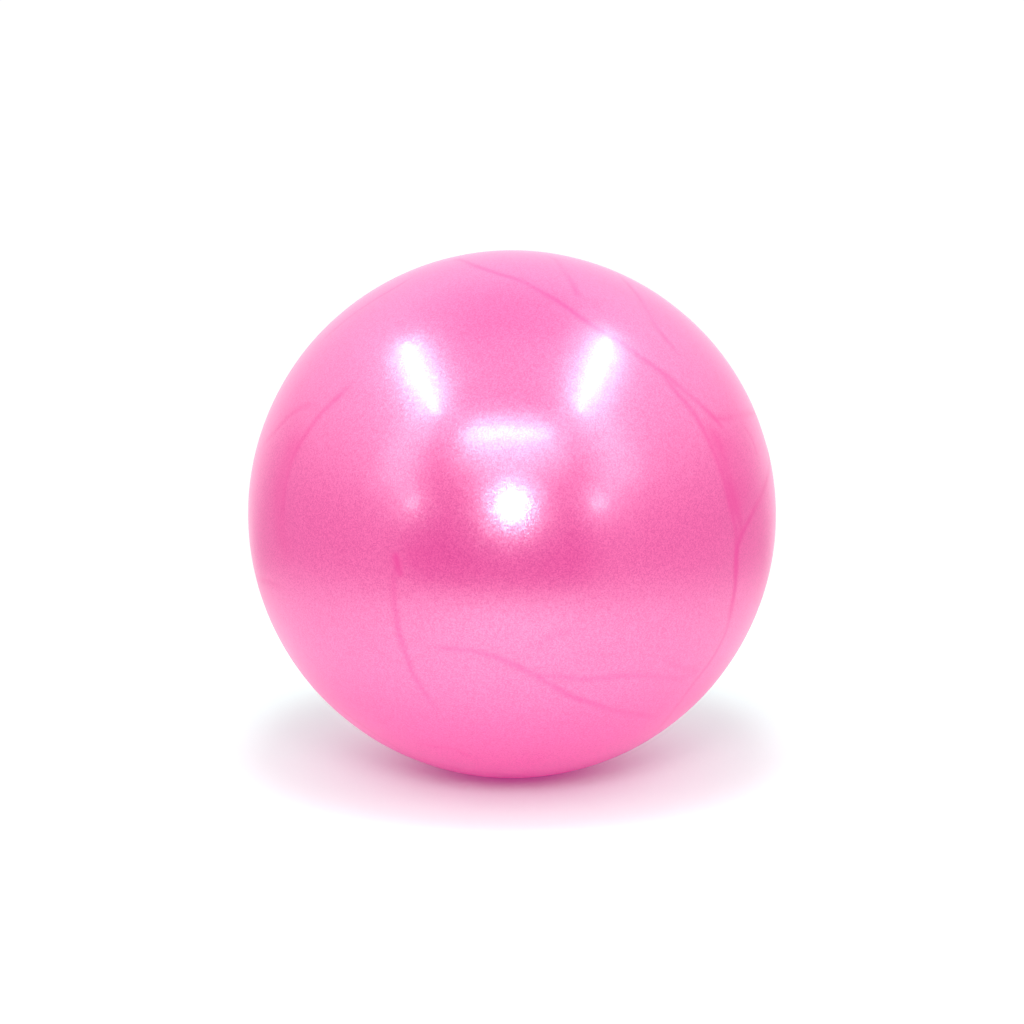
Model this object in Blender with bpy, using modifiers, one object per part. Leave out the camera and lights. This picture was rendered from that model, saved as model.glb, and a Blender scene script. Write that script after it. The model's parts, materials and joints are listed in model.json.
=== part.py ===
"""Exercise ball, 250 mm across: an air-filled PVC skin, the valve seat bonded into it, and the push-in plug.

Metres, +Z up. The origin is the centre of the flat patch on which the ball rests, and the valve faces +Y.
"""

from math import acos, ceil, cos, pi, radians, sin, sqrt, tan

import bpy
from mathutils import Vector

MM = 0.001

# Ball
BALL_RADIUS = 125 * MM
SKIN_WALL = 0.6 * MM
PATCH_RADIUS = 14 * MM  # where the skin lies flat, because the ball's weight balances its pressure
CENTRE_HEIGHT = sqrt(BALL_RADIUS**2 - PATCH_RADIUS**2)

# Valve hub: the thick ring of the skin that holds the seat
HUB_BORE = 9 * MM
HUB_CREST = 13 * MM
HUB_OUTER = 17 * MM
HUB_TOE = 15.2 * MM
HUB_RISE = 0.8 * MM
HUB_DEPTH = 1.4 * MM
HUB_FILLET = 1.5 * MM
MID_WALL = 0.45 * MM  # the hub's edge ends this deep, inside the skin's wall

# Valve seat: a boss in the hub's bore, a flange behind it and a neck that grips the plug
GLUE_GAP = 0.15 * MM
LIP_DROP = 0.15 * MM
LIP_FILLET = 0.5 * MM
CUP_RADIUS = 6.6 * MM
CUP_DEPTH = 2.3 * MM
CUP_FILLET = 0.4 * MM
BORE_RADIUS = 2.5 * MM
BORE_CHAMFER = 0.5 * MM
FLANGE_RADIUS = 14.6 * MM
FLANGE_EDGE = 0.7 * MM
FLANGE_THICK = 1.6 * MM
NECK_RADIUS = 5.3 * MM
NECK_END_RADIUS = 4.6 * MM
NECK_LENGTH = 16 * MM
NECK_FILLET = 1 * MM

# Plug: a dished head, undercut for a fingernail, on a ribbed stem
SEATED_GAP = 0.1 * MM
HEAD_RADIUS = 6 * MM
HEAD_THICK = 2.6 * MM
HEAD_RIM = 1.1 * MM
HEAD_WAIST = 4.9 * MM
HEAD_FILLET = 0.4 * MM
DISH_RADIUS = 3.6 * MM
DISH_DEPTH = 0.5 * MM
STEM_RADIUS = 2.2 * MM
STEM_PAST_NECK = 3 * MM
RIB_RADIUS = 2.44 * MM
RIB_COUNT = 3
RIB_PITCH = 4 * MM
RIB_HALF = 0.9 * MM
TIP_RADIUS = 1.4 * MM
TIP_LENGTH = 3.5 * MM

# Facets
BALL_STEPS = 60
RING_ANGLE = radians(6)
VALVE_STEPS = 48
FILLET_STEPS = 3

PINK_PVC = (0.82, 0.10, 0.34)
CLEAR_PVC = (0.78, 0.74, 0.76)
WHITE_PVC = (0.86, 0.86, 0.86)


def height_on(sphere, radius):
    """The height along the valve's axis of a sphere about the ball's centre, at a radius from that axis."""
    return sqrt(sphere**2 - radius**2)


# Heights along the valve's axis, from the ball's centre
LIP = height_on(BALL_RADIUS + HUB_RISE, HUB_BORE) - LIP_DROP
CUP_FLOOR = LIP - CUP_DEPTH
FLANGE_FACE = BALL_RADIUS - HUB_DEPTH - GLUE_GAP
FLANGE_BACK = height_on(FLANGE_FACE, HUB_BORE) - FLANGE_THICK
NECK_END = CUP_FLOOR - NECK_LENGTH


def clear_scene():
    for leftover in list(bpy.data.objects):
        bpy.data.objects.remove(leftover)


def new_collection(name):
    collection = bpy.data.collections.new(name)
    bpy.context.scene.collection.children.link(collection)
    return collection


def new_material(name, colour, roughness, transmission=0.0):
    material = bpy.data.materials.new(name)
    material.use_nodes = True
    shader = material.node_tree.nodes["Principled BSDF"]
    shader.inputs["Base Color"].default_value = (*colour, 1)
    shader.inputs["Metallic"].default_value = 0.0
    shader.inputs["Roughness"].default_value = roughness
    shader.inputs["Transmission Weight"].default_value = transmission
    return material


def rounded(corners):
    """The outline through (radius, height, fillet) corners, with an arc wherever the fillet isn't zero."""
    outline = []
    for index, (radius, height, fillet) in enumerate(corners):
        corner = Vector((radius, height))
        if not fillet:
            outline.append(corner)
            continue
        to_last = (Vector(corners[index - 1][:2]) - corner).normalized()
        to_next = (Vector(corners[(index + 1) % len(corners)][:2]) - corner).normalized()
        half_angle = to_last.angle(to_next) / 2
        centre = corner + (to_last + to_next).normalized() * fillet / sin(half_angle)
        start = corner + to_last * fillet / tan(half_angle) - centre
        end = corner + to_next * fillet / tan(half_angle) - centre
        for step in range(FILLET_STEPS + 1):
            outline.append(centre + start.lerp(end, step / FILLET_STEPS).normalized() * fillet)
    return outline


def turned(name, outline, steps, collection, is_ring=False):
    """A solid of revolution about its own Z axis. The outline runs down its outer side."""
    edges = [(index, index + 1) for index in range(len(outline) - 1)]
    if is_ring:
        edges.append((len(outline) - 1, 0))
    mesh = bpy.data.meshes.new(name)
    mesh.from_pydata([(radius, 0, height) for radius, height in outline], edges, [])
    solid = bpy.data.objects.new(name, mesh)
    collection.objects.link(solid)
    screw = solid.modifiers.new("Turn", "SCREW")
    screw.axis = "Z"
    screw.steps = steps
    screw.render_steps = steps
    screw.use_merge_vertices = True
    screw.merge_threshold = 0.01 * MM
    screw.use_smooth_shade = True
    return solid


def as_helper(solid):
    solid.hide_render = True
    solid.display_type = "WIRE"
    return solid


def add_boolean(solid, operation, other):
    modifier = solid.modifiers.new(operation.title(), "BOOLEAN")
    modifier.operation = operation
    modifier.object = other
    modifier.solver = "EXACT"


def hub_ring(collection):
    """The hub stands above the skin, dips below it, and thins out to an edge inside the skin's wall."""
    corners = [
        (HUB_BORE, height_on(BALL_RADIUS + HUB_RISE, HUB_BORE), LIP_FILLET),
        (HUB_CREST, height_on(BALL_RADIUS + HUB_RISE, HUB_CREST), HUB_FILLET),
        (HUB_OUTER, height_on(BALL_RADIUS - MID_WALL, HUB_OUTER), 0),
        (HUB_TOE, height_on(BALL_RADIUS - HUB_DEPTH, HUB_TOE), 0),
        (HUB_BORE, height_on(BALL_RADIUS - HUB_DEPTH, HUB_BORE), 0),
    ]
    return as_helper(turned("hub_ring", rounded(corners), VALVE_STEPS, collection, is_ring=True))


def hub_cutter(collection):
    """A round hole through the wall, wholly under the hub ring."""
    top = BALL_RADIUS + 5 * MM
    bottom = BALL_RADIUS - 5 * MM
    outline = [(0, top), (HUB_CREST, top), (HUB_CREST, bottom), (0, bottom)]
    return as_helper(turned("hub_cutter", outline, VALVE_STEPS, collection))


def ball_skin(collection, hub, cutter):
    """A thin sphere, flattened where it rests, with the hub let into its rear."""
    patch_edge = pi - acos(CENTRE_HEIGHT / BALL_RADIUS)
    outline = []
    for ring in range(ceil(patch_edge / RING_ANGLE) + 1):
        angle = min(ring * RING_ANGLE, patch_edge)
        outline.append((BALL_RADIUS * sin(angle), BALL_RADIUS * cos(angle)))
    outline.append((0, -CENTRE_HEIGHT))
    skin = turned("ball_skin", outline, BALL_STEPS, collection)
    skin.location.z = CENTRE_HEIGHT
    shell = skin.modifiers.new("Wall", "SOLIDIFY")
    shell.thickness = SKIN_WALL
    shell.offset = -1
    shell.use_even_offset = True
    add_boolean(skin, "DIFFERENCE", cutter)
    add_boolean(skin, "UNION", hub)
    return skin


def valve_seat(collection):
    boss = HUB_BORE - GLUE_GAP
    corners = [
        (CUP_RADIUS, LIP, 0),
        (boss, LIP, LIP_FILLET),
        (boss, height_on(FLANGE_FACE, boss), 0),
        (FLANGE_RADIUS, height_on(FLANGE_FACE, FLANGE_RADIUS), 0),
        (FLANGE_RADIUS, height_on(FLANGE_FACE, FLANGE_RADIUS) - FLANGE_EDGE, 0),
        (NECK_RADIUS, FLANGE_BACK, NECK_FILLET),
        (NECK_END_RADIUS, NECK_END, LIP_FILLET),
        (BORE_RADIUS + BORE_CHAMFER, NECK_END, 0),
        (BORE_RADIUS, NECK_END + BORE_CHAMFER, 0),
        (BORE_RADIUS, CUP_FLOOR - BORE_CHAMFER, 0),
        (BORE_RADIUS + BORE_CHAMFER, CUP_FLOOR, 0),
        (CUP_RADIUS, CUP_FLOOR, CUP_FILLET),
    ]
    return turned("valve_seat", rounded(corners), VALVE_STEPS, collection, is_ring=True)


def valve_plug(collection):
    underside = CUP_FLOOR + SEATED_GAP
    top = underside + HEAD_THICK
    tip = NECK_END - STEM_PAST_NECK
    corners = [
        (0, top - DISH_DEPTH, 0),
        (DISH_RADIUS, top - DISH_DEPTH, HEAD_FILLET),
        (DISH_RADIUS + DISH_DEPTH, top, HEAD_FILLET),
        (HEAD_RADIUS, top, HEAD_FILLET),
        (HEAD_RADIUS, top - HEAD_RIM, 0),
        (HEAD_WAIST, top - HEAD_RIM, 0),
        (HEAD_WAIST, underside, 0),
        (STEM_RADIUS, underside, 0),
    ]
    for rib in range(RIB_COUNT):
        middle = CUP_FLOOR - RIB_PITCH * (rib + 1)
        corners.append((STEM_RADIUS, middle + RIB_HALF, 0))
        corners.append((RIB_RADIUS, middle, 0))
        corners.append((STEM_RADIUS, middle - RIB_HALF, 0))
    corners.append((STEM_RADIUS, tip + TIP_LENGTH, 0))
    corners.append((TIP_RADIUS, tip, HEAD_FILLET))
    corners.append((0, tip, 0))
    return turned("valve_plug", rounded(corners), VALVE_STEPS, collection)


def build():
    clear_scene()
    parts = new_collection("exercise_ball")
    helpers = new_collection("helpers")

    valve_axis = bpy.data.objects.new("valve_axis", None)
    valve_axis.location.z = CENTRE_HEIGHT
    valve_axis.rotation_euler.x = radians(-90)
    helpers.objects.link(valve_axis)

    hub = hub_ring(helpers)
    cutter = hub_cutter(helpers)
    skin = ball_skin(parts, hub, cutter)
    seat = valve_seat(parts)
    plug = valve_plug(parts)
    for piece in (hub, cutter, seat, plug):
        piece.parent = valve_axis

    skin.data.materials.append(new_material("pink_pvc", PINK_PVC, 0.35))
    seat.data.materials.append(new_material("clear_pvc", CLEAR_PVC, 0.3, transmission=0.3))
    plug.data.materials.append(new_material("white_pvc", WHITE_PVC, 0.35))


build()
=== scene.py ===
"""Looks for the exercise ball: a creased pearly skin, a milky valve seat and a white plug, in a light tent.

Metres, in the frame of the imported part. A direction from the ball's centre is given in degrees, as its
azimuth from the front (-Y) towards +X and its elevation above the horizon.
"""

import json
from math import atan, atan2, cos, pi, radians, sin, sqrt, tan
from typing import NamedTuple

import bmesh
import bpy
import numpy as np
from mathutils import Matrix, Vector, noise
from mathutils.kdtree import KDTree

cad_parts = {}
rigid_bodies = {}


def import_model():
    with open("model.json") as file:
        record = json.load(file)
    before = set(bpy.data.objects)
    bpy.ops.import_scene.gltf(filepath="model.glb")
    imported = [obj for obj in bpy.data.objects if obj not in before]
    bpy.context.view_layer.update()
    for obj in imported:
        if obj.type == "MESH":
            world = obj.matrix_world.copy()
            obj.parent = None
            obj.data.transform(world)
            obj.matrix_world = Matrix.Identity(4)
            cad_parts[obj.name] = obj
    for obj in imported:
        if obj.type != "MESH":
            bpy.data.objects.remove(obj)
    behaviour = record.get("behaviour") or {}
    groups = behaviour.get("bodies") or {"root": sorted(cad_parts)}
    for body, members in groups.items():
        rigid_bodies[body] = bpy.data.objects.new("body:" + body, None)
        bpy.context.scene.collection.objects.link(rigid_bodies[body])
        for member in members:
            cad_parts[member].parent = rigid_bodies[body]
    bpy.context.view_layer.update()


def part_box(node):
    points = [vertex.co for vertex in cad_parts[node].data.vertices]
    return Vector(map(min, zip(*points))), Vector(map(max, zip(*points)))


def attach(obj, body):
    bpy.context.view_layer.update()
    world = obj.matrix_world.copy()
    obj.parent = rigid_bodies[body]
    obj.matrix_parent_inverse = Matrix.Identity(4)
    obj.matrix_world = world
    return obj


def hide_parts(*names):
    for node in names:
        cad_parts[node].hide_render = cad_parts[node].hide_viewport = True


MM = 0.001

# Skin
SKIN_WALL = 0.6 * MM
OUTER_CELLS = 48
INNER_CELLS = 24
RIM_CELLS = 24
OPENING_RINGS = 10
REFINE_REACHES = (8 * MM, 4 * MM, 2.2 * MM)
REFINED_WIDTH = 2  # in mm: a crease as wide as this needs no finer cells
CREASE_REACH = 20 * MM
SAG_WIDTH = 5 * MM
WANDER = 0.8 * MM  # how far a crease strays from a smooth line, and over what length
WANDER_LENGTH = 14 * MM
WANDER_SEED = 1  # vector noise is seeded by the clock otherwise
FADING = 0.7  # how much a crease's strength varies, and over what length
FADING_LENGTH = 22 * MM
WAVE_HEIGHT = 0.07 * MM
WAVE_LENGTH = 32 * MM
PEEL_HEIGHT = 0.03 * MM
PEEL_LENGTH = 5 * MM
CLOUD_LENGTH = 6 * MM  # of its colour
FLAKE_SIZE = 0.5 * MM
FLAKE_TILT = 0.07
FLAKE_SHEEN = (0.38, 0.62)  # of the dullest flake and the brightest
SHEEN_UNDER_FULL_MARK_AND_PAINTED_SHADE = 0.4  # how much of that is left under a full crease mark with its painted shade
PAINTED_SKIN_GLOW = (0.46, 0.019, 0.2)  # painted glow: an emission standing in for light that got in through the thin skin elsewhere and leaves again evenly

# Valve hub, as in the imported part. Its flank runs from its crest down to its foot.
HUB_BORE = 9 * MM
HUB_CREST = 13 * MM
HUB_FOOT = 16 * MM
HUB_TOE = 15.2 * MM
HUB_OUTER = 17 * MM
HUB_RISE = 0.8 * MM
HUB_DEPTH = 1.4 * MM
HUB_FILLET = 0.6 * MM
HUB_RINGS = 12
HUB_CLEARANCE = 20 * MM  # creases and waves stay this far from the valve's axis
HUB_MARK_AND_PAINTED_SHADE = 0.55  # the hub's thick PVC is as dark as a crease with this mark: partly its deeper colour, partly painted shade that lets the hub show

# Valve seat
GLUE_GAP = 0.15 * MM
LIP_DROP = 0.15 * MM
LIP_FILLET = 0.5 * MM
CUP_RADIUS = 6.6 * MM
CUP_DEPTH = 2.3 * MM
CUP_FILLET = 0.4 * MM
BORE_RADIUS = 2.5 * MM
BORE_CHAMFER = 0.5 * MM
FLANGE_RADIUS = 14.6 * MM
FLANGE_EDGE = 0.7 * MM
FLANGE_THICK = 1.6 * MM
NECK_RADIUS = 5.3 * MM
NECK_END_RADIUS = 4.6 * MM
NECK_LENGTH = 16 * MM
NECK_FILLET = 1 * MM

# Plug
SEATED_GAP = 0.1 * MM
HEAD_RADIUS = 6 * MM
HEAD_THICK = 2.6 * MM
HEAD_RIM = 1.1 * MM
HEAD_WAIST = 4.9 * MM
HEAD_FILLET = 0.4 * MM
DISH_RADIUS = 3.6 * MM
DISH_DEPTH = 0.5 * MM
STEM_RADIUS = 2.2 * MM
STEM_PAST_NECK = 3 * MM
RIB_RADIUS = 2.44 * MM
RIB_COUNT = 3
RIB_PITCH = 4 * MM
RIB_HALF = 0.9 * MM
TIP_RADIUS = 1.4 * MM
TIP_LENGTH = 3.5 * MM

TURNED_STEPS = 96
FILLET_STEPS = 6
SHARP_ANGLE = radians(40)

# Camera
CAMERA_ELEVATION = 11
CAMERA_DISTANCE = 1.1516
CAMERA_LENS = 85
CAMERA_SENSOR = 36
CAMERA_SHIFT = 1 * MM  # the ball sits this much below the middle of the frame

# Light tent, in metres from the ball's centre: AT is towards +X, UP towards +Z and FORWARD towards -Y.
# Radiances are against a pure white of 1.
SEEN_RADIANCE = 1.05  # of the walls and the far floor to the camera
WALL_RADIANCES = ((0, 0.55), (10, 0.72), (22, 1.15), (40, 1.4), (60, 0.98), (90, 0.6))  # by elevation
REAR_RADIANCE = 1.08
REAR_START = 0.6  # of a direction's part along +Y
REAR_END = 0.85
LAMPS_UP = 0.62
SOFT_LAMP_FORWARD = 0.16
SOFT_LAMP_SIZE = 0.3
SOFT_LAMP_RADIANCE = 10
FLOOR_LAMP_UP = 0.1
FLOOR_LAMP_SIZE = 0.14
FLOOR_LAMP_RADIANCE = 17
STRIPS_AT = (-0.389, 0.341)
STRIPS_FORWARD = 0.176
STRIP_LENGTH = 0.5
STRIP_WIDTH = 0.03
STRIP_RADIANCE = 48
WALL_GLOWS_AT = (-0.365, 0.34)
WALL_GLOW_FORWARD = 0.35
WALL_GLOW_UP = 0.32
WALL_GLOW_SIZE = (0.17, 0.34)
WALL_GLOW_RADIANCE = 1.5
TENT_FRONT = 0.41
LAMP_INSET = 10 * MM  # how far inside its front the lamps there hang
DOOR_SIDES = (-0.33, 0.23)
DOOR_HEIGHT = 0.83  # above the floor
DOOR_RADIANCE = 0.02
PANEL_UP = 0.22
PANEL_SIZE = (0.34, 0.24)
PANEL_RADIANCE = 2.2
BAR_AT = -0.012
BAR_UP = 0.345
BAR_LENGTH = 0.275
BAR_WIDTH = 0.045
BAR_RADIANCE = 16.5
FLASH_UP = 0.101
FLASH_SIZE = 0.061
FLASH_RADIANCE = 46
SIDE_LAMPS_AT = (-0.31, 0.253)
SIDE_LAMPS_UP = 0.112
SIDE_LAMP_SIZE = 0.05
SIDE_LAMP_RADIANCE = 11
FLOOR_RADIUS = 30
FLOOR_SIDES = 64
FLOOR_DROP = 0.2 * MM  # keeps it just clear of the ball's flat patch
FLOOR_WHITE = (0.81, 0.95, 0.92)  # what the camera sees of it, which holds back the red of the skin's painted glow
FLOOR_MIRRORED_WITH_PAINTED_SHADE = (0.94, 0.68)  # what the object sees of it, in front and behind; the duller rear is painted shade
CONTACT_PAINTED_SHADOW = 0.5  # painted shadow: how much of that is left right beneath the object
CONTACT_START = 0.02  # from there it comes back over this stretch
CONTACT_END = 0.09
TENT_START = 0.28  # the floor gives way to the walls from here outwards
TENT_END = 0.52


class Crease(NamedTuple):
    """A mark where the empty skin was folded, with painted shade of its dent. Its lengths are in mm."""

    points: list
    mark: float = 0.45  # 0 to 1: how much the fold's mark and painted shade dull the pearl's sheen and deepen its pink
    depth: float = 0.06
    width: float = 1.7
    sag: float = 0.0  # of the line's right side as seen from outside, or of its left side if negative
    fade: float = 14  # how far from its ends it fades out


FRONT_CREASES = [
    Crease(
        [(-80, 77), (-31, 75), (-9, 71), (9, 66), (25, 54), (38, 43), (48, 33), (57, 23)],
        mark=0.65,
        sag=0.07,
        fade=8,
    ),
    Crease([(41, 40), (44, 34), (48, 26), (51, 13), (53, 2), (54, -8), (55, -20)], 0.7, sag=0.15, fade=16),
    Crease([(54, -8), (55, -18), (53, -27), (50, -33), (50, -41), (53, -49)], 0.6, sag=-0.12, fade=10),
    Crease([(51, 27), (60, 26), (76, 25), (92, 22), (108, 15)], 0.45),
    Crease([(60, 82), (48, 77), (36, 71), (31, 65), (28, 59)], 0.6, fade=8),
    Crease([(85, 67), (70, 63), (61, 58), (56, 54), (53, 48), (53, 40)], 0.6),
    Crease([(107, 31), (92, 18), (76, 12), (68, 9), (60, 5), (54, 0), (54, -8)], 0.85, sag=0.15, fade=10),
    Crease([(64, 26), (68, 20), (69, 15)], 0.3, fade=6),
    # The next three are painted shade of the dip between the folds at the right.
    Crease([(50, 28), (52, 21), (53, 14), (54, 8), (56, 3)], 0.8, 0.04, width=4.5),
    Crease([(54, 26), (57, 18), (58, 11), (58, 5)], 0.4, 0.02, width=8),
    Crease([(52, 15), (53, 10), (55, 5), (54, -1)], 0.6, 0.04, width=3, fade=6),
    Crease([(-24, 2), (-24, -4), (-24, -14), (-22, -24), (-20, -30), (-17, -35)], 0.5, sag=-0.1, fade=16),
    Crease([(-24, 3), (-23, 0), (-22, -3)], 0.9, width=2, fade=3),
    # Painted shade of a dimple at the top of the fold above.
    Crease([(-22, 5), (-18, 0), (-15, -4)], 0.35, 0.05, width=4, fade=6),
    Crease(
        [(-18, -17), (-12, -17), (-5, -18), (5, -23), (12, -28), (23, -33), (34, -37), (47, -41)],
        mark=0.42,
        sag=0.1,
    ),
    Crease([(3, -22), (12, -24), (29, -25), (41, -28), (52, -28)], 0.28),
    Crease([(34, -21), (42, -25), (51, -28)], 0.22, fade=6),
    Crease([(2, -17), (9, -14), (17, -12)], 0.25),
    Crease([(-43, 37), (-47, 32), (-51, 27), (-55, 19), (-56, 12), (-55, 3)], 0.55, sag=-0.1),
    # Painted shade along the outer side of the arc above.
    Crease([(-54, 26), (-58, 16), (-57, 6), (-52, -5)], 0.55, width=6),
    Crease([(-76, 16), (-68, 22), (-60, 28), (-50, 30)], 0.4),
    Crease([(-60, -38), (-49, -47), (-44, -56), (-41, -67)], 0.5, sag=0.1),
    Crease([(-34, -47), (-25, -47), (-17, -48), (-11, -55)], 0.4),
    Crease([(-84, -13), (-68, -10), (-54, -9)], 0.45),
    Crease([(-75, 40), (-70, 52), (-66, 61), (-68, 70)], 0.55),
]

# How the front's folds go on round the back is imagined.
REAR_CREASES = [
    Crease([(94, 58), (112, 50), (131, 40), (146, 27), (155, 12), (158, -4)], 0.55, sag=0.15),
    Crease([(148, 23), (164, 23), (178, 27), (194, 36), (207, 48)], 0.45),
    Crease([(157, 2), (155, -16), (147, -30), (133, -42)], 0.5, sag=-0.12),
    Crease([(205, 46), (212, 30), (214, 14), (211, -2), (203, -16)], 0.5, sag=0.12),
    Crease([(211, -3), (224, -8), (238, -10), (256, -8)], 0.4, 0.08),
    Crease([(98, -12), (115, -17), (131, -18), (153, -13)], 0.35, 0.08),
    Crease([(198, -19), (188, -33), (172, -44), (150, -52)], 0.45, sag=0.1),
    Crease([(264, 10), (250, 22), (240, 36), (234, 52)], 0.4, sag=-0.1),
    Crease([(236, -30), (250, -38), (268, -40)], 0.35),
    # Painted shade of a dip beside the first of these folds.
    Crease([(151, 32), (156, 18), (159, 4)], 0.35, 0.06, width=5.5),
]


def direction(azimuth, elevation):
    flat = cos(radians(elevation))
    return Vector((sin(radians(azimuth)) * flat, -cos(radians(azimuth)) * flat, sin(radians(elevation))))


def mix(start, end, part):
    return start + (end - start) * part


def smooth_step(value, start, end):
    part = np.clip((value - start) / (end - start), 0, 1)
    return part * part * (3 - 2 * part)


# ---------------------------------------------------------------- skin

def cube_grid(mesh, cells, rim_cells, place):
    """A sphere of six square grids, with a hole of rim_cells cells a side at +Y. Returns its rim."""
    corners = {}

    def corner(*lattice):
        if lattice not in corners:
            towards = Vector([tan(pi / 4 * step / cells) for step in lattice])
            corners[lattice] = mesh.verts.new(place(towards.normalized()))
        return corners[lattice]

    for axis in range(3):
        for side in (-cells, cells):
            for first in range(-cells, cells, 2):
                for second in range(-cells, cells, 2):
                    in_rim = max(abs(first + 1), abs(second + 1)) < rim_cells
                    if axis == 1 and side > 0 and in_rim:
                        continue
                    square = []
                    for a, b in ((0, 0), (2, 0), (2, 2), (0, 2)):
                        lattice = [first + a, second + b]
                        lattice.insert(axis, side)
                        square.append(corner(*lattice))
                    mesh.faces.new(square)
    walk = range(-rim_cells, rim_cells, 2)
    rim = [corner(step, cells, -rim_cells) for step in walk]
    rim += [corner(rim_cells, cells, step) for step in walk]
    rim += [corner(-step, cells, rim_cells) for step in walk]
    rim += [corner(-rim_cells, cells, -step) for step in walk]
    return rim


def loft(mesh, loops):
    for first, second in zip(loops, loops[1:]):
        for index in range(len(first)):
            after = (index + 1) % len(first)
            mesh.faces.new((first[index], first[after], second[after], second[index]))


def opening_loops(mesh, rim, centre, radius, edge_radius):
    """Loops on a sphere that turn its square rim into a circle of edge_radius round the valve's axis."""
    loops = [rim]
    count = len(rim)
    edge_tilt = atan(edge_radius / sqrt(radius**2 - edge_radius**2))
    for ring in range(1, OPENING_RINGS + 1):
        part = ring / OPENING_RINGS
        loop = []
        for index, vertex in enumerate(rim):
            towards = vertex.co - centre
            turn = turn_at(index, count)
            uneven = (atan2(towards.z, towards.x) - turn + pi) % (2 * pi) - pi
            tilt = mix(towards.angle(Vector((0, 1, 0))), edge_tilt, part)
            turn += uneven * (1 - part)
            loop.append(mesh.verts.new(centre + on_axis(radius * sin(tilt), radius * cos(tilt), turn)))
        loops.append(loop)
    return loops


def turn_at(index, count):
    """The rims start at their square's corner, an eighth of a turn before +X."""
    return 2 * pi * index / count - 3 * pi / 4


def on_axis(radius, height, turn):
    """A point at a radius from the valve's axis and a height along it, from the ball's centre."""
    return Vector((radius * cos(turn), height, radius * sin(turn)))


def height_on(sphere, radius):
    return sqrt(sphere**2 - radius**2)


def hub_outline(ball_radius):
    """From the skin's outside, over the hub's crest, down its bore and under it, to the skin's inside."""
    outline = []
    for ring in range(HUB_RINGS + 1):
        radius = mix(HUB_FOOT, HUB_BORE + HUB_FILLET, ring / HUB_RINGS)
        rise = HUB_RISE * (1 - smooth_step(radius, HUB_CREST, HUB_FOOT))
        outline.append((radius, height_on(ball_radius + rise, radius)))
    top = outline[-1][1]
    for step in range(1, FILLET_STEPS + 1):
        angle = pi / 2 * step / FILLET_STEPS
        outline.append((HUB_BORE + HUB_FILLET * (1 - sin(angle)), top - HUB_FILLET * (1 - cos(angle))))
    outline.append((HUB_BORE, height_on(ball_radius - HUB_DEPTH, HUB_BORE)))
    outline.append((HUB_TOE, height_on(ball_radius - HUB_DEPTH, HUB_TOE)))
    return outline


class Curve:
    """A smooth line on the ball through a crease's points, sampled finely enough to measure from."""

    STEP = 0.5 * MM
    COARSE = 10  # samples to skip for a rough distance
    BLOCK = 4096  # points to measure at a time

    def __init__(self, points, ball_radius):
        ends = [direction(*point) for point in points]
        ends = [ends[0] * 2 - ends[1], *ends, ends[-1] * 2 - ends[-2]]
        samples = []
        for before, start, end, after in zip(ends, ends[1:], ends[2:], ends[3:]):
            count = max(2, int(start.angle(end) * ball_radius / self.STEP))
            for step in range(count):
                place = self.between(before, start, end, after, step / count).normalized() * ball_radius
                place += noise.noise_vector(place / WANDER_LENGTH) * WANDER
                samples.append(place.normalized() * ball_radius)
        self.samples = np.array(samples)
        self.along = np.gradient(self.samples, axis=0)
        self.length = len(samples)

    @staticmethod
    def between(before, start, end, after, part):
        """Catmull and Rom's curve."""
        cubic = 3 * start - 3 * end + after - before
        square = 2 * before - 5 * start + 4 * end - after
        return start + part / 2 * (end - before + part * (square + part * cubic))

    def measure(self, points):
        """Each point's distance from the line, signed by its side, and how far along it the nearer end is."""
        side = np.empty(len(points))
        to_end = np.empty(len(points))
        for first in range(0, len(points), self.BLOCK):
            part = slice(first, first + self.BLOCK)
            block = points[part]
            apart = np.linalg.norm(block[:, None] - self.samples[None], axis=2)
            nearest = apart.argmin(1)
            offset = block - self.samples[nearest]
            right = np.einsum("ij,ij->i", np.cross(self.along[nearest], self.samples[nearest]), offset)
            side[part] = np.sign(right) * apart[np.arange(len(block)), nearest]
            to_end[part] = np.minimum(nearest, self.length - 1 - nearest) * self.STEP
        return side, to_end


def near(points, curve, reach):
    """Which points may lie within reach of the curve, found from a few of its samples."""
    coarse = curve.samples[:: Curve.COARSE]
    apart = np.linalg.norm(points[:, None] - coarse[None], axis=2).min(1)
    return apart < reach + Curve.COARSE * Curve.STEP


def crease_relief(points, curves, creases):
    """The height that creases add to each point of the skin, and each point's mark with its painted shade."""
    height = np.zeros(len(points))
    unmarked = np.ones(len(points))
    for crease, curve in zip(creases, curves):
        close = np.flatnonzero(near(points, curve, CREASE_REACH))
        side, to_end = curve.measure(points[close])
        uneven = np.array([noise.noise(Vector(point) / FADING_LENGTH) for point in points[close]])
        ends = smooth_step(to_end, 0, crease.fade * MM) * (1 + FADING * uneven)
        groove = np.exp(-((side / (crease.width * MM)) ** 2)) * ends
        sagging = np.clip(side * np.sign(crease.sag), 0, None) / SAG_WIDTH
        sagging *= np.exp(1 - sagging) * ends
        height[close] -= crease.depth * MM * groove + abs(crease.sag) * MM * sagging
        unmarked[close] *= 1 - np.clip(crease.mark * groove, 0, 1)
    return height, 1 - unmarked


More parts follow.
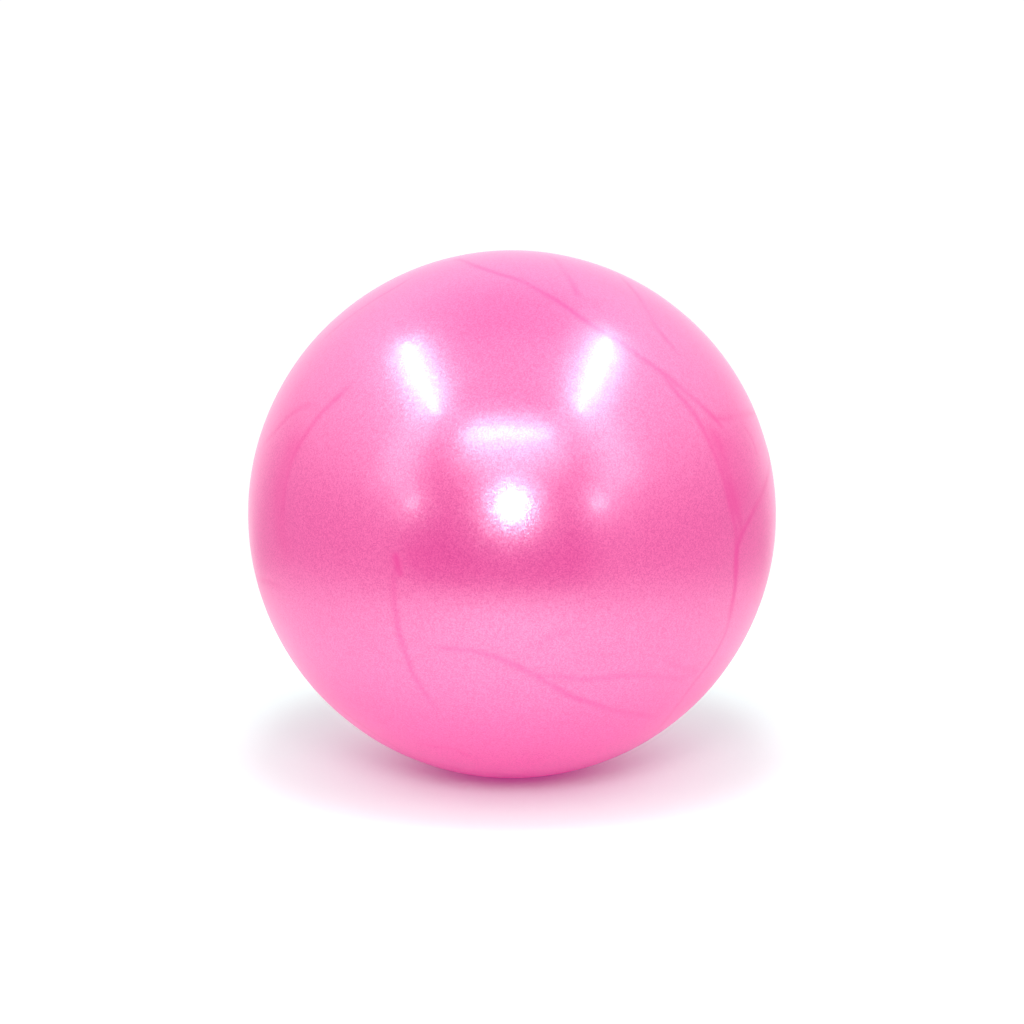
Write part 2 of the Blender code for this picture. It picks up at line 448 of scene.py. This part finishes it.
def ball_skin(centre, ball_radius):
    """The outside, the hub and the inside as one closed shell, with finer cells along the creases."""
    mesh = bmesh.new()
    outer_rim = cube_grid(mesh, OUTER_CELLS, RIM_CELLS, lambda towards: centre + towards * ball_radius)
    loops = opening_loops(mesh, outer_rim, centre, ball_radius, HUB_FOOT)
    for radius, height in hub_outline(ball_radius)[1:]:
        turns = [turn_at(index, len(outer_rim)) for index in range(len(outer_rim))]
        loops.append([mesh.verts.new(centre + on_axis(radius, height, turn)) for turn in turns])
    inner_radius = ball_radius - SKIN_WALL
    inner_rim = cube_grid(mesh, INNER_CELLS, INNER_CELLS, lambda towards: centre + towards * inner_radius)
    loops += reversed(opening_loops(mesh, inner_rim, centre, inner_radius, HUB_OUTER))
    loft(mesh, loops)
    bmesh.ops.recalc_face_normals(mesh, faces=mesh.faces)

    creases = FRONT_CREASES + REAR_CREASES
    curves = [Curve(crease.points, ball_radius) for crease in creases]
    narrow = [curve.samples for crease, curve in zip(creases, curves) if crease.width < REFINED_WIDTH]
    refine(mesh, centre, ball_radius, np.concatenate(narrow))
    relieve(mesh, centre, ball_radius, creases, curves)
    data = bpy.data.meshes.new("skin")
    mesh.to_mesh(data)
    mesh.free()
    data.shade_smooth()
    skin = bpy.data.objects.new("skin", data)
    bpy.context.scene.collection.objects.link(skin)
    return skin


def from_valve(vertex, centre):
    """How far a vertex is from the valve's axis, or from the ball's centre if it is in front of that."""
    offset = vertex.co - centre
    return sqrt(offset.x**2 + offset.z**2) if offset.y > 0 else offset.length


def on_outside(vertex, centre, ball_radius):
    is_outer = (vertex.co - centre).length > ball_radius - SKIN_WALL / 2
    return is_outer and from_valve(vertex, centre) > HUB_CLEARANCE


def refine(mesh, centre, ball_radius, lines):
    """Halves the outside's edges near the lines, ever nearer to them, and keeps new points on the sphere."""
    tree = KDTree(len(lines))
    for index, point in enumerate(lines):
        tree.insert(point, index)
    tree.balance()
    for reach in REFINE_REACHES:
        outside = {vertex for vertex in mesh.verts if on_outside(vertex, centre, ball_radius)}
        edges = []
        for edge in mesh.edges:
            start, end = edge.verts
            if start in outside and end in outside:
                middle = (start.co + end.co) / 2 - centre
                if tree.find(middle)[2] < reach:
                    edges.append(edge)
        made = bmesh.ops.subdivide_edges(mesh, edges=edges, cuts=1, use_grid_fill=True, use_single_edge=True)
        for item in made["geom_inner"]:
            if isinstance(item, bmesh.types.BMVert):
                item.co = centre + (item.co - centre).normalized() * ball_radius


def relieve(mesh, centre, ball_radius, creases, curves):
    """Presses the creases, the waves and the flat patch into the skin, and stores each vertex's mark and
    painted shade.
    """
    mesh.verts.ensure_lookup_table()
    # The crease layer holds each vertex's mark with its painted shade, at the folds and on the hub.
    mark_and_painted_shade_layer = mesh.verts.layers.float.new("crease")
    outside = [vertex for vertex in mesh.verts if on_outside(vertex, centre, ball_radius)]
    points = np.array([vertex.co - centre for vertex in outside])
    height, mark = crease_relief(points, curves, creases)
    for vertex, up, vertex_mark_and_painted_shade in zip(outside, height, mark):
        offset = vertex.co - centre
        wave = noise.noise(offset / WAVE_LENGTH) * WAVE_HEIGHT
        vertex.co = centre + offset.normalized() * (ball_radius + up + wave)
        vertex[mark_and_painted_shade_layer] = vertex_mark_and_painted_shade
    for vertex in mesh.verts:
        apart = from_valve(vertex, centre)
        if apart < HUB_CLEARANCE:
            # darker on the hub: the thick PVC's deeper colour, and painted shade that lets the hub show
            vertex[mark_and_painted_shade_layer] = HUB_MARK_AND_PAINTED_SHADE * (1 - smooth_step(apart, HUB_CREST, HUB_FOOT))
        inside = (vertex.co - centre).length < ball_radius - SKIN_WALL / 2
        vertex.co.z = max(vertex.co.z, SKIN_WALL if inside else 0)


# ---------------------------------------------------------------- valve

def rounded(corners):
    """The outline through (radius, height, fillet) corners, with an arc wherever the fillet isn't zero."""
    outline = []
    for index, (radius, height, fillet) in enumerate(corners):
        corner = Vector((radius, height))
        if not fillet:
            outline.append(corner)
            continue
        to_last = (Vector(corners[index - 1][:2]) - corner).normalized()
        to_next = (Vector(corners[(index + 1) % len(corners)][:2]) - corner).normalized()
        half_angle = to_last.angle(to_next) / 2
        middle = corner + (to_last + to_next).normalized() * fillet / sin(half_angle)
        start = corner + to_last * fillet / tan(half_angle) - middle
        end = corner + to_next * fillet / tan(half_angle) - middle
        for step in range(FILLET_STEPS + 1):
            outline.append(middle + start.lerp(end, step / FILLET_STEPS).normalized() * fillet)
    return outline


def turned(name, outline, centre, is_ring=False):
    """A solid of revolution about the valve's axis. An outline that isn't a ring ends on the axis."""
    mesh = bmesh.new()
    turns = [turn_at(index, TURNED_STEPS) for index in range(TURNED_STEPS)]
    loops = []
    for radius, height in outline if is_ring else outline[1:-1]:
        loops.append([mesh.verts.new(centre + on_axis(radius, height, turn)) for turn in turns])
    if is_ring:
        loops.append(loops[0])
    loft(mesh, loops)
    if not is_ring:
        for loop, (radius, height) in ((loops[0], outline[0]), (loops[-1], outline[-1])):
            tip = mesh.verts.new(centre + on_axis(radius, height, 0))
            for index in range(TURNED_STEPS):
                mesh.faces.new((loop[index], loop[(index + 1) % TURNED_STEPS], tip))
    bmesh.ops.recalc_face_normals(mesh, faces=mesh.faces)
    data = bpy.data.meshes.new(name)
    mesh.to_mesh(data)
    mesh.free()
    data.shade_smooth()
    data.set_sharp_from_angle(angle=SHARP_ANGLE)
    solid = bpy.data.objects.new(name, data)
    bpy.context.scene.collection.objects.link(solid)
    return solid


class Valve:
    """Heights along the valve's axis, from the ball's centre."""

    def __init__(self, ball_radius):
        self.lip = height_on(ball_radius + HUB_RISE, HUB_BORE) - LIP_DROP
        self.cup_floor = self.lip - CUP_DEPTH
        self.flange_face = ball_radius - HUB_DEPTH - GLUE_GAP
        self.flange_back = height_on(self.flange_face, HUB_BORE) - FLANGE_THICK
        self.neck_end = self.cup_floor - NECK_LENGTH


def valve_seat(centre, valve):
    boss = HUB_BORE - GLUE_GAP
    corners = [
        (CUP_RADIUS, valve.lip, LIP_FILLET / 2),
        (boss, valve.lip, LIP_FILLET),
        (boss, height_on(valve.flange_face, boss), 0),
        (FLANGE_RADIUS, height_on(valve.flange_face, FLANGE_RADIUS), 0),
        (FLANGE_RADIUS, height_on(valve.flange_face, FLANGE_RADIUS) - FLANGE_EDGE, 0),
        (NECK_RADIUS, valve.flange_back, NECK_FILLET),
        (NECK_END_RADIUS, valve.neck_end, LIP_FILLET),
        (BORE_RADIUS + BORE_CHAMFER, valve.neck_end, 0),
        (BORE_RADIUS, valve.neck_end + BORE_CHAMFER, 0),
        (BORE_RADIUS, valve.cup_floor - BORE_CHAMFER, 0),
        (BORE_RADIUS + BORE_CHAMFER, valve.cup_floor, 0),
        (CUP_RADIUS, valve.cup_floor, CUP_FILLET),
    ]
    return turned("seat", rounded(corners), centre, is_ring=True)


def valve_plug(centre, valve):
    underside = valve.cup_floor + SEATED_GAP
    top = underside + HEAD_THICK
    tip = valve.neck_end - STEM_PAST_NECK
    corners = [
        (0, top - DISH_DEPTH, 0),
        (DISH_RADIUS, top - DISH_DEPTH, HEAD_FILLET),
        (DISH_RADIUS + DISH_DEPTH, top, HEAD_FILLET),
        (HEAD_RADIUS, top, HEAD_FILLET),
        (HEAD_RADIUS, top - HEAD_RIM, HEAD_FILLET / 2),
        (HEAD_WAIST, top - HEAD_RIM, HEAD_FILLET / 2),
        (HEAD_WAIST, underside, 0),
        (STEM_RADIUS, underside, 0),
    ]
    for rib in range(RIB_COUNT):
        middle = valve.cup_floor - RIB_PITCH * (rib + 1)
        corners.append((STEM_RADIUS, middle + RIB_HALF, 0))
        corners.append((RIB_RADIUS, middle, 0))
        corners.append((STEM_RADIUS, middle - RIB_HALF, 0))
    corners.append((STEM_RADIUS, tip + TIP_LENGTH, 0))
    corners.append((TIP_RADIUS, tip, HEAD_FILLET))
    corners.append((0, tip, 0))
    return turned("plug", rounded(corners), centre)


# ---------------------------------------------------------------- materials

def new_material(name):
    material = bpy.data.materials.new(name)
    material.use_nodes = True
    return material


def principled(material):
    return material.node_tree.nodes["Principled BSDF"]


def set_inputs(material, node, inputs):
    """An input is a value, or a socket to link from."""
    for name, value in inputs.items():
        if isinstance(value, bpy.types.NodeSocket):
            material.node_tree.links.new(value, node.inputs[name])
        else:
            node.inputs[name].default_value = value


def add_node(material, kind, inputs):
    node = material.node_tree.nodes.new(kind)
    set_inputs(material, node, inputs)
    return node


def noise_of(material, feature, detail=2.0):
    """Noise from 0 to 1 whose features are about this large, in metres."""
    place = add_node(material, "ShaderNodeTexCoord", {}).outputs["Object"]
    pattern = {"Vector": place, "Scale": 1 / feature, "Detail": detail}
    return add_node(material, "ShaderNodeTexNoise", pattern).outputs["Fac"]


def mix_colours(material, part, first, second):
    """The sockets that a Mix node has for colours are told apart only by their numbers."""
    node = add_node(material, "ShaderNodeMix", {})
    node.data_type = "RGBA"
    for index, value in ((0, part), (6, first), (7, second)):
        if isinstance(value, bpy.types.NodeSocket):
            material.node_tree.links.new(value, node.inputs[index])
        else:
            node.inputs[index].default_value = (*value, 1)
    return node.outputs[2]


def mapped(material, value, start, end, low=0.0, high=1.0):
    """Maps start to end onto low to high, and doesn't go past them."""
    span = {"Value": value, "From Min": start, "From Max": end, "To Min": low, "To Max": high}
    return add_node(material, "ShaderNodeMapRange", span).outputs["Result"]


def scaled(material, value, low, high):
    """Maps 0 to 1 onto low to high."""
    return mapped(material, value, 0.0, 1.0, low, high)


def multiplied(material, first, second):
    node = add_node(material, "ShaderNodeMath", {0: first, 1: second})
    node.operation = "MULTIPLY"
    return node.outputs["Value"]


def bump(material, height, depth):
    return add_node(material, "ShaderNodeBump", {"Height": height, "Distance": depth}).outputs["Normal"]


def vector_math(material, operation, *values):
    node = add_node(material, "ShaderNodeVectorMath", dict(enumerate(values)))
    node.operation = operation
    return node.outputs["Vector"]


def pearl_pvc():
    """Pink PVC full of pearl flakes: a broad lilac gloss that sparkles finely, under a clear smooth layer."""
    material = new_material("pearl_pvc")
    # each vertex's crease mark with its painted shade
    crease = add_node(material, "ShaderNodeAttribute", {})
    crease.attribute_name = "crease"
    surface_mark_and_painted_shade = crease.outputs["Fac"]
    place = add_node(material, "ShaderNodeTexCoord", {}).outputs["Object"]
    cells = {"Vector": place, "Scale": 1 / FLAKE_SIZE}
    flakes = add_node(material, "ShaderNodeTexVoronoi", cells).outputs["Color"]
    brightness = add_node(material, "ShaderNodeTexWhiteNoise", {"Vector": flakes}).outputs["Value"]
    # Marks dull the sparkle: partly the fold's disturbed flakes, partly painted shade.
    sheen = multiplied(
        material,
        scaled(material, brightness, *FLAKE_SHEEN),
        scaled(material, surface_mark_and_painted_shade, 1, SHEEN_UNDER_FULL_MARK_AND_PAINTED_SHADE),
    )
    clouds = noise_of(material, CLOUD_LENGTH, detail=3.0)
    dull = mix_colours(material, clouds, (0.28, 0.018, 0.085), (0.32, 0.025, 0.105))
    bright = mix_colours(material, clouds, (0.42, 0.042, 0.145), (0.46, 0.051, 0.165))
    pink = mix_colours(material, brightness, dull, bright)
    peel = bump(material, noise_of(material, PEEL_LENGTH), PEEL_HEIGHT)
    leaning = vector_math(material, "SUBTRACT", flakes, (0.5, 0.5, 0.5))
    tilted = vector_math(material, "MULTIPLY_ADD", leaning, (FLAKE_TILT,) * 3, peel)
    set_inputs(
        material,
        principled(material),
        {
            # Marks deepen the pink: partly the fold's disturbed flakes, partly painted shade of its dent.
            "Base Color": mix_colours(material, surface_mark_and_painted_shade, pink, (0.38, 0.016, 0.11)),
            "Roughness": scaled(material, surface_mark_and_painted_shade, 0.31, 0.4),
            "IOR": 2.6,
            "Specular IOR Level": sheen,
            "Specular Tint": (1.0, 0.74, 0.89, 1),
            "Normal": vector_math(material, "NORMALIZE", tilted),
            "Coat Weight": 0.35,
            "Coat Roughness": 0.13,
            "Coat Normal": peel,
            # painted glow: an even emission in place of light that comes through the thin skin
            "Emission Color": (*PAINTED_SKIN_GLOW, 1),
            "Emission Strength": 1.0,
        },
    )
    return material


def milky_pvc():
    """The seat's soft PVC, cloudy and a little see-through."""
    material = new_material("milky_pvc")
    clouds = noise_of(material, 3 * MM)
    set_inputs(
        material,
        principled(material),
        {
            "Base Color": mix_colours(material, clouds, (0.74, 0.66, 0.70), (0.82, 0.76, 0.79)),
            "Roughness": 0.3,
            "Subsurface Weight": 0.5,
            "Subsurface Radius": (1.0, 0.8, 0.8),
            "Subsurface Scale": 2 * MM,
            "Normal": bump(material, noise_of(material, 0.4 * MM), 0.01 * MM),
        },
    )
    return material


def white_pvc():
    """The plug's firmer PVC, with the fine texture of its mould."""
    material = new_material("white_pvc")
    clouds = noise_of(material, 2 * MM)
    set_inputs(
        material,
        principled(material),
        {
            "Base Color": mix_colours(material, clouds, (0.80, 0.79, 0.79), (0.86, 0.85, 0.85)),
            "Roughness": 0.36,
            "Subsurface Weight": 0.15,
            "Subsurface Scale": 1 * MM,
            "Normal": bump(material, noise_of(material, 0.3 * MM), 0.01 * MM),
        },
    )
    return material


# ---------------------------------------------------------------- light tent

def only_in_reflections(thing):
    thing.visible_camera = False
    thing.visible_diffuse = False
    thing.visible_transmission = False
    thing.visible_volume_scatter = False
    thing.visible_shadow = False


def area_light(name, place, target, size, radiance):
    """A lamp of a width and a height, or a round one if it has a single size."""
    light = bpy.data.lights.new(name, "AREA")
    if isinstance(size, tuple):
        light.shape = "RECTANGLE"
        light.size, light.size_y = size
        area = light.size * light.size_y
    else:
        light.shape = "DISK"
        light.size = size
        area = pi * (size / 2) ** 2
    light.energy = radiance * pi * area
    lamp = bpy.data.objects.new(name, light)
    lamp.location = place
    lamp.rotation_euler = (Vector(target) - Vector(place)).to_track_quat("-Z", "Y").to_euler()
    lamp.visible_camera = False
    bpy.context.scene.collection.objects.link(lamp)
    return lamp


def wall_shade(owner, towards):
    """How bright the tent is in a direction: by elevation, and brighter at the rear. A camera sees white."""
    parts = add_node(owner, "ShaderNodeSeparateXYZ", {"Vector": towards})
    ramp = add_node(owner, "ShaderNodeValToRGB", {"Fac": parts.outputs["Z"]})
    ramp.color_ramp.interpolation = "EASE"
    stops = ramp.color_ramp.elements
    while len(stops) < len(WALL_RADIANCES):
        stops.new(1)
    for stop, (elevation, radiance) in zip(stops, WALL_RADIANCES):
        stop.position = sin(radians(elevation))
        stop.color = (radiance, radiance, radiance, 1)
    rear = mapped(owner, parts.outputs["Y"], REAR_START, REAR_END)
    seen = add_node(owner, "ShaderNodeLightPath", {}).outputs["Is Camera Ray"]
    shade = mix_colours(owner, rear, ramp.outputs["Color"], (REAR_RADIANCE,) * 3)
    return mix_colours(owner, seen, shade, (SEEN_RADIANCE,) * 3)


def tent_walls():
    world = bpy.data.worlds.new("tent_walls")
    bpy.context.scene.world = world
    world.use_nodes = True
    towards = add_node(world, "ShaderNodeTexCoord", {}).outputs["Generated"]
    set_inputs(world, world.node_tree.nodes["Background"], {"Color": wall_shade(world, towards)})


def floor_material():
    """White to the camera. The object sees a duller floor, darkest beneath it: painted shade behind it and a
    painted shadow right beneath it.

    Far out the floor looks like the tent's walls, as bright as they are at the same azimuth.
    """
    material = new_material("floor_white")
    place = add_node(material, "ShaderNodeTexCoord", {}).outputs["Object"]
    from_middle = add_node(material, "ShaderNodeVectorMath", {"Vector": place})
    from_middle.operation = "LENGTH"
    distance = from_middle.outputs["Value"]
    beyond = mapped(material, distance, TENT_START, TENT_END)
    wall = wall_shade(material, vector_math(material, "NORMALIZE", place))
    seen = add_node(material, "ShaderNodeLightPath", {}).outputs["Is Camera Ray"]
    along = add_node(material, "ShaderNodeSeparateXYZ", {"Vector": place}).outputs["Y"]
    # painted shade behind the object and a painted shadow right beneath it, for all but the camera
    rear_painted_shade = mapped(material, along, -TENT_START, TENT_START, *FLOOR_MIRRORED_WITH_PAINTED_SHADE)
    painted_contact_shadow = mapped(material, distance, CONTACT_START, CONTACT_END, CONTACT_PAINTED_SHADOW)
    near_colour = mix_colours(material, seen, multiplied(material, rear_painted_shade, painted_contact_shadow), FLOOR_WHITE)
    set_inputs(
        material,
        principled(material),
        {
            "Base Color": mix_colours(material, beyond, near_colour, (0, 0, 0)),
            "Specular IOR Level": 0.0,
            "Emission Color": mix_colours(material, beyond, (0, 0, 0), wall),
            "Emission Strength": 1.0,
        },
    )
    return material


def white_floor():
    mesh = bmesh.new()
    bmesh.ops.create_circle(mesh, cap_ends=True, segments=FLOOR_SIDES, radius=FLOOR_RADIUS)
    data = bpy.data.meshes.new("floor")
    mesh.to_mesh(data)
    mesh.free()
    data.materials.append(floor_material())
    floor = bpy.data.objects.new("floor", data)
    floor.location.z = -FLOOR_DROP
    bpy.context.scene.collection.objects.link(floor)
    return floor


def dark_door():
    """The tent's open front, which the skin reflects as a dark rectangle."""
    mesh = bmesh.new()
    left, right = DOOR_SIDES
    corners = [(left, 0), (right, 0), (right, DOOR_HEIGHT), (left, DOOR_HEIGHT)]
    mesh.faces.new([mesh.verts.new((across, -TENT_FRONT, up)) for across, up in corners])
    data = bpy.data.meshes.new("door")
    mesh.to_mesh(data)
    mesh.free()
    door = bpy.data.objects.new("door", data)
    bpy.context.scene.collection.objects.link(door)
    material = new_material("door_dark")
    set_inputs(
        material,
        principled(material),
        {
            "Base Color": (0, 0, 0, 1),
            "Specular IOR Level": 0.0,
            "Emission Color": (1, 1, 1, 1),
            "Emission Strength": DOOR_RADIANCE,
        },
    )
    data.materials.append(material)
    only_in_reflections(door)


def light_only(lamp, thing):
    receivers = bpy.data.collections.new(lamp.name + "_receivers")
    receivers.objects.link(thing)
    lamp.light_linking.receiver_collection = receivers


def soft_lamps(centre, floor):
    """They light the object and the floor, and the skin doesn't mirror them."""
    overhead = centre + Vector((0, -SOFT_LAMP_FORWARD, LAMPS_UP))
    soft = area_light("soft_lamp", overhead, centre, (SOFT_LAMP_SIZE, SOFT_LAMP_SIZE), SOFT_LAMP_RADIANCE)
    soft.visible_glossy = False
    front_low = centre + Vector((0, -TENT_FRONT, FLOOR_LAMP_UP))
    low = area_light("floor_lamp", front_low, centre, FLOOR_LAMP_SIZE, FLOOR_LAMP_RADIANCE)
    low.visible_glossy = False
    light_only(low, floor)


def side_lights(centre):
    """The long strips overhead and the glow of the walls, on both sides."""
    lights = []
    for across in STRIPS_AT:
        place = centre + Vector((across, -STRIPS_FORWARD, LAMPS_UP))
        under = place - Vector((0, 0, 1))
        lights.append(area_light("strip", place, under, (STRIP_WIDTH, STRIP_LENGTH), STRIP_RADIANCE))
    for across in WALL_GLOWS_AT:
        place = centre + Vector((across, -WALL_GLOW_FORWARD, WALL_GLOW_UP))
        inwards = place - Vector((across, 0, 0))
        lights.append(area_light("wall_glow", place, inwards, WALL_GLOW_SIZE, WALL_GLOW_RADIANCE))
    return lights


def front_lights(centre):
    """The bar, the panel, the round flash and the two small lamps at the tent's open front."""
    front = LAMP_INSET - TENT_FRONT
    bar = centre + Vector((BAR_AT, front, BAR_UP))
    panel = centre + Vector((0, front, PANEL_UP))
    flash = centre + Vector((0, front, FLASH_UP))
    lights = [
        area_light("bar", bar, centre, (BAR_LENGTH, BAR_WIDTH), BAR_RADIANCE),
        area_light("panel", panel, centre, PANEL_SIZE, PANEL_RADIANCE),
        area_light("flash", flash, centre, FLASH_SIZE, FLASH_RADIANCE),
    ]
    for across in SIDE_LAMPS_AT:
        place = centre + Vector((across, front, SIDE_LAMPS_UP))
        lights.append(area_light("side_lamp", place, centre, SIDE_LAMP_SIZE, SIDE_LAMP_RADIANCE))
    return lights


def mirrored_lights(centre):
    """The skin mirrors them, and they light nothing else."""
    for lamp in side_lights(centre) + front_lights(centre):
        lamp.visible_diffuse = False


def camera(centre):
    data = bpy.data.cameras.new("camera")
    data.lens = CAMERA_LENS
    data.sensor_width = CAMERA_SENSOR
    eye = bpy.data.objects.new("camera", data)
    towards_eye = direction(0, CAMERA_ELEVATION)
    eye.rotation_euler = (-towards_eye).to_track_quat("-Z", "Y").to_euler()
    up = direction(180, 90 - CAMERA_ELEVATION)
    eye.location = centre + towards_eye * CAMERA_DISTANCE + up * CAMERA_SHIFT
    bpy.context.scene.collection.objects.link(eye)
    bpy.context.scene.camera = eye


def main():
    noise.seed_set(WANDER_SEED)
    for leftover in list(bpy.data.objects):
        bpy.data.objects.remove(leftover)
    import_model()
    low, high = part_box("ball_skin")
    ball_radius = (high.x - low.x) / 2
    centre = Vector(((low.x + high.x) / 2, low.y + ball_radius, high.z - ball_radius))
    valve = Valve(ball_radius)

    for piece, node, body, slot, material in (
        (ball_skin(centre, ball_radius), "ball_skin", "ball", "skin", pearl_pvc()),
        (valve_seat(centre, valve), "valve_seat", "ball", "seat", milky_pvc()),
        (valve_plug(centre, valve), "valve_plug", "plug", "plug", white_pvc()),
    ):
        piece.data.materials.append(material)
        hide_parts(node)
        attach(piece, body)

    tent_walls()
    floor = white_floor()
    dark_door()
    soft_lamps(centre, floor)
    mirrored_lights(centre)
    camera(centre)
    bpy.context.scene.view_settings.view_transform = "Standard"


main()
